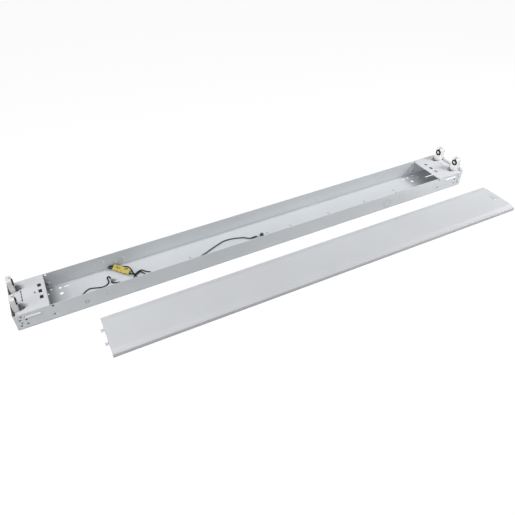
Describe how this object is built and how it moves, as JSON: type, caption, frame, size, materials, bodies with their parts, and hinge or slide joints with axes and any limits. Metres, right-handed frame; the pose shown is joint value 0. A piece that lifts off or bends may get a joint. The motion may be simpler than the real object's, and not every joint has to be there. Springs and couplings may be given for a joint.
{
  "type": "linear light fixture",
  "caption": "Two-lamp linear light fixture for four-foot tubes: open sheet-metal channel with rotary lampholders and loose leads, its ribbed cover lying beside it.",
  "frame": {"origin": "centre of the rectangle of mounting holes, in the channel's back face", "axes": "+X along the fixture towards the end that the lampholder leads don't reach, +Y across the channel away from the loose cover, +Z out of the channel's open side"},
  "size_m": [1.269, 0.2721, 0.08],
  "materials": {
    "channel_paint": "satin",
    "plate_paint": "satin",
    "cover_paint": "satin",
    "holder_plastic": "gloss",
    "rotor_ring": "matte",
    "rotor_core": "satin",
    "contact_brass": "satin",
    "lead_black": "satin",
    "strands": "satin",
    "tag_yellow": "matte",
    "lead_green": "satin",
    "crimp_sleeve": "matte",
    "terminal_metal": "satin",
    "screw_green": "gloss"
  },
  "bodies": {
    "housing": {"channel": "channel_paint", "end_cap_left": "channel_paint", "end_cap_right": "channel_paint", "socket_plate_left": "plate_paint", "socket_plate_right": "plate_paint", "lampholder_left_near": "holder_plastic", "lampholder_left_far": "holder_plastic", "lampholder_right_near": "holder_plastic", "lampholder_right_far": "holder_plastic", "holder_backs_left": "holder_plastic", "holder_backs_right": "holder_plastic", "contacts_left": "contact_brass", "contacts_right": "contact_brass", "lead_far_a": "lead_black", "lead_far_b": "lead_black", "lead_near_a": "lead_black", "lead_near_b": "lead_black", "lead_ends": "strands", "sleeve_tag": "tag_yellow", "earth_lead": "lead_green", "earth_crimp": "crimp_sleeve", "earth_terminal": "terminal_metal", "earth_screw": "screw_green"},
    "rotor_left_near": {"rotor_ring_left_near": "rotor_ring", "rotor_core_left_near": "rotor_core"},
    "rotor_left_far": {"rotor_ring_left_far": "rotor_ring", "rotor_core_left_far": "rotor_core"},
    "rotor_right_near": {"rotor_ring_right_near": "rotor_ring", "rotor_core_right_near": "rotor_core"},
    "rotor_right_far": {"rotor_ring_right_far": "rotor_ring", "rotor_core_right_far": "rotor_core"},
    "cover_body": {"cover": "cover_paint"}
  },
  "joints": [
    {"name": "turn_left_near", "type": "hinge", "parent": "housing", "child": "rotor_left_near", "pos_m": [-0.6005, -0.032, 0.066], "axis": [1, 0, 0], "range_deg": [-180, 0]},
    {"name": "turn_left_far", "type": "hinge", "parent": "housing", "child": "rotor_left_far", "pos_m": [-0.6005, 0.032, 0.066], "axis": [1, 0, 0], "range_deg": [-90, 90]},
    {"name": "turn_right_near", "type": "hinge", "parent": "housing", "child": "rotor_right_near", "pos_m": [0.6005, -0.032, 0.066], "axis": [1, 0, 0], "range_deg": [-90, 90]},
    {"name": "turn_right_far", "type": "hinge", "parent": "housing", "child": "rotor_right_far", "pos_m": [0.6005, 0.032, 0.066], "axis": [1, 0, 0], "range_deg": [-90, 90]},
    {"name": "lift_cover", "type": "slide", "parent": "housing", "child": "cover_body", "axis": [0, 0, 1], "range_m": [0, 0.15]}
  ]
}
